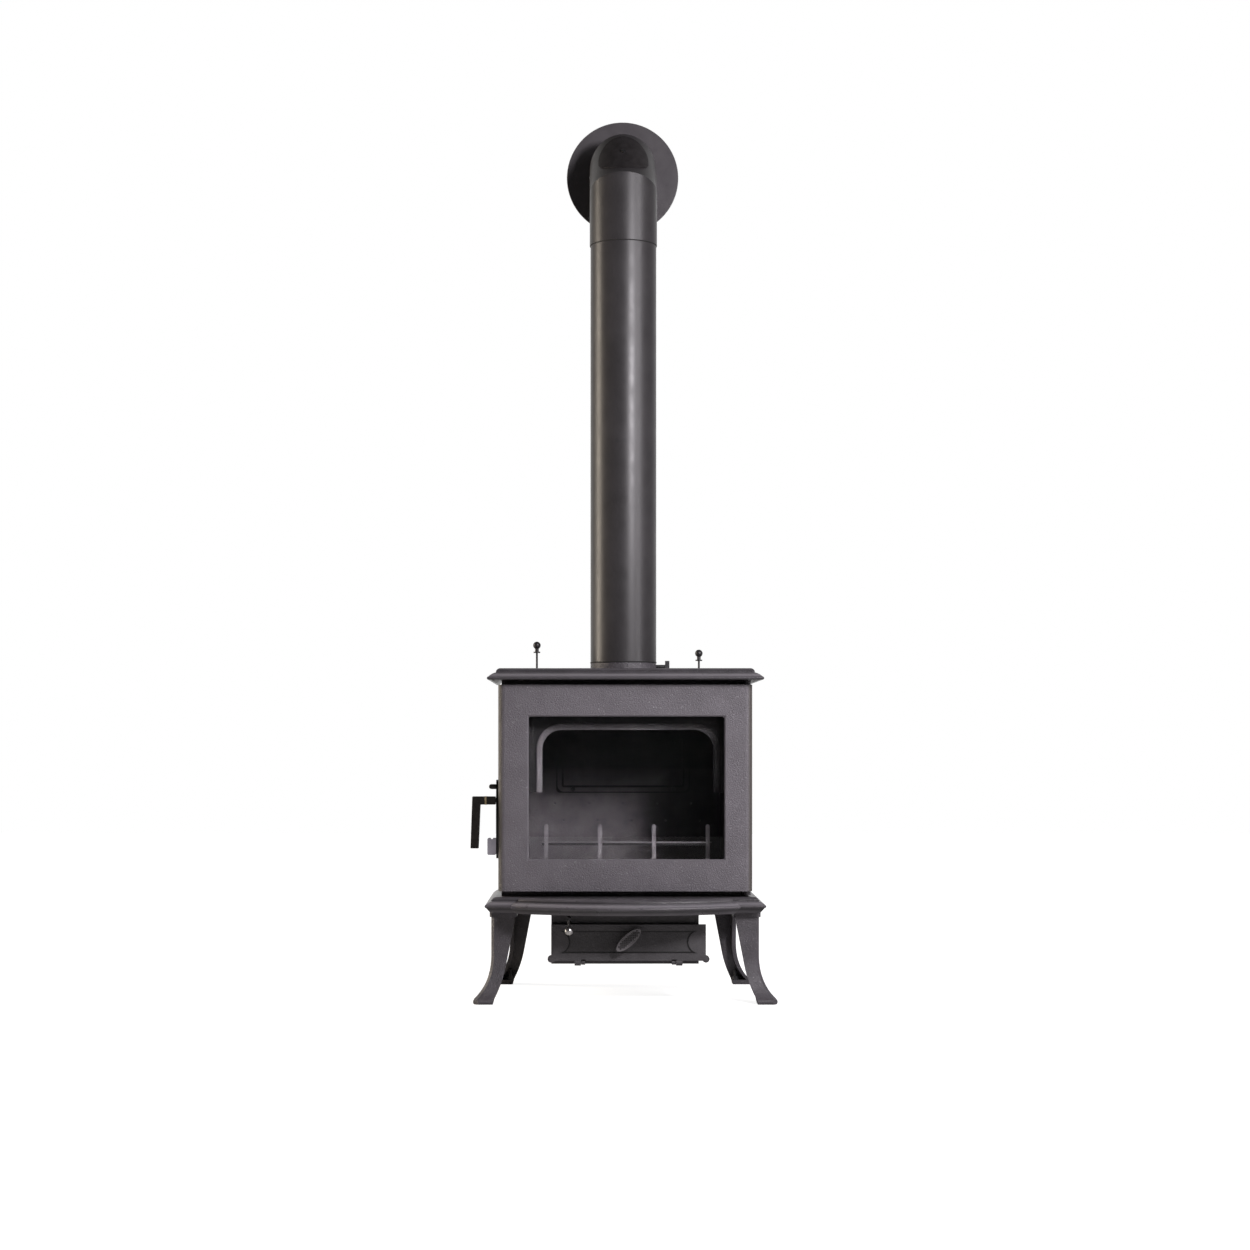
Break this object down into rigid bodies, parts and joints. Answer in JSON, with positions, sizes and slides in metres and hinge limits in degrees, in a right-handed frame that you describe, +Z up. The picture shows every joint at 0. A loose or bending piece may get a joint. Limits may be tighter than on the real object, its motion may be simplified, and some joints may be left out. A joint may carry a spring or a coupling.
{
  "type": "cast iron wood stove",
  "caption": "Free-standing cast iron wood stove with a glazed door, drop-down ash door, cabriole legs and a mitred flue to the wall.",
  "frame": {"origin": "on the floor, in the middle of the stove's body, between its four feet", "axes": "+Z up, the door faces -Y, +X to the right seen from the front"},
  "size_m": [0.6739, 0.65, 2.054],
  "materials": {
    "cast_iron": "matt black paint on sand-cast iron",
    "flue_paint": "satin black stove paint",
    "fire_glass": "clear ceramic glass",
    "seal_rope": "woven glass rope",
    "bright_steel": "turned steel",
    "brass": "dull brass",
    "dark_steel": "blackened steel",
    "handle_black": "satin brown-black enamel",
    "fire_iron": "bare matt iron",
    "grey_iron": "bare grey iron"
  },
  "bodies": {
    "stove": {"airwash_plate": "fire_iron", "ash_box": "cast_iron", "ash_pan": "dark_steel", "back_liner": "fire_iron", "back_plate": "cast_iron", "base_plate": "cast_iron", "body_screws": "dark_steel", "fire_fence": "fire_iron", "flue_collar": "cast_iron", "flue_elbow": "flue_paint", "flue_pipe": "flue_paint", "front_frame": "cast_iron", "grate_frame": "fire_iron", "grate_rails": "dark_steel", "latch_keeper": "dark_steel", "leg_front_left": "cast_iron", "leg_front_right": "cast_iron", "leg_rear_left": "cast_iron", "leg_rear_right": "cast_iron", "levelling_screws": "dark_steel", "liner_left": "fire_iron", "liner_right": "fire_iron", "rear_plate": "fire_iron", "side_plate_left": "cast_iron", "side_plate_right": "cast_iron", "soot_cover": "flue_paint", "soot_cover_screw": "dark_steel", "throat_baffle": "fire_iron", "tie_rods": "dark_steel", "top_plate": "cast_iron", "underside_bolts": "dark_steel", "wall_rosette": "flue_paint"},
    "fire_door": {"door_frame": "cast_iron", "door_hinge_pins": "dark_steel", "door_rope": "seal_rope", "door_glass": "fire_glass", "glass_gasket": "seal_rope", "glass_clips": "dark_steel", "glass_clip_screws": "dark_steel", "latch_plate": "handle_black", "latch_block": "grey_iron"},
    "lever": {"door_handle": "handle_black", "handle_ring": "brass", "handle_spindle": "dark_steel", "latch_crank": "dark_steel"},
    "ash_flap": {"ash_door": "cast_iron", "ash_door_rope": "seal_rope", "ash_hinge_pins": "dark_steel"},
    "ash_turn": {"ash_knob": "cast_iron", "ash_latch_bar": "dark_steel"},
    "riddle": {"riddle_rod": "dark_steel", "riddle_ball": "bright_steel", "shaker_grate": "fire_iron"},
    "air_left": {"air_rod_left": "dark_steel", "air_shutter_left": "dark_steel"},
    "air_right": {"air_rod_right": "dark_steel", "air_shutter_right": "dark_steel"},
    "damper": {"damper_plate": "fire_iron", "damper_spindle": "dark_steel", "damper_lever": "dark_steel"}
  },
  "joints": [
    {"name": "fire_door_hinge", "type": "hinge", "parent": "stove", "child": "fire_door", "pos_m": [0.268, -0.188, 0.4735], "axis": [0, 0, 1], "range_deg": [0, 110]},
    {"name": "lever_turn", "type": "hinge", "parent": "fire_door", "child": "lever", "pos_m": [-0.29, -0.19, 0.4455], "axis": [-1, 0, 0], "range_deg": [-20, 70]},
    {"name": "ash_flap_hinge", "type": "hinge", "parent": "stove", "child": "ash_flap", "pos_m": [0.0075, -0.184, 0.088], "axis": [1, 0, 0], "range_deg": [0, 100]},
    {"name": "ash_turn_hinge", "type": "hinge", "parent": "ash_flap", "child": "ash_turn", "pos_m": [0.0075, -0.19, 0.14], "axis": [0, -1, 0], "range_deg": [-42, 48]},
    {"name": "riddle_slide", "type": "slide", "parent": "stove", "child": "riddle", "axis": [0, 1, 0], "range_m": [-0.015, 0.015]},
    {"name": "air_left_slide", "type": "slide", "parent": "stove", "child": "air_left", "axis": [0, 0, 1], "range_m": [-0.045, 0]},
    {"name": "air_right_slide", "type": "slide", "parent": "stove", "child": "air_right", "axis": [0, 0, 1], "range_m": [-0.027, 0.018]},
    {"name": "damper_turn", "type": "hinge", "parent": "stove", "child": "damper", "pos_m": [0.05, 0.09, 0.75], "axis": [1, 0, 0], "range_deg": [0, 90]}
  ]
}
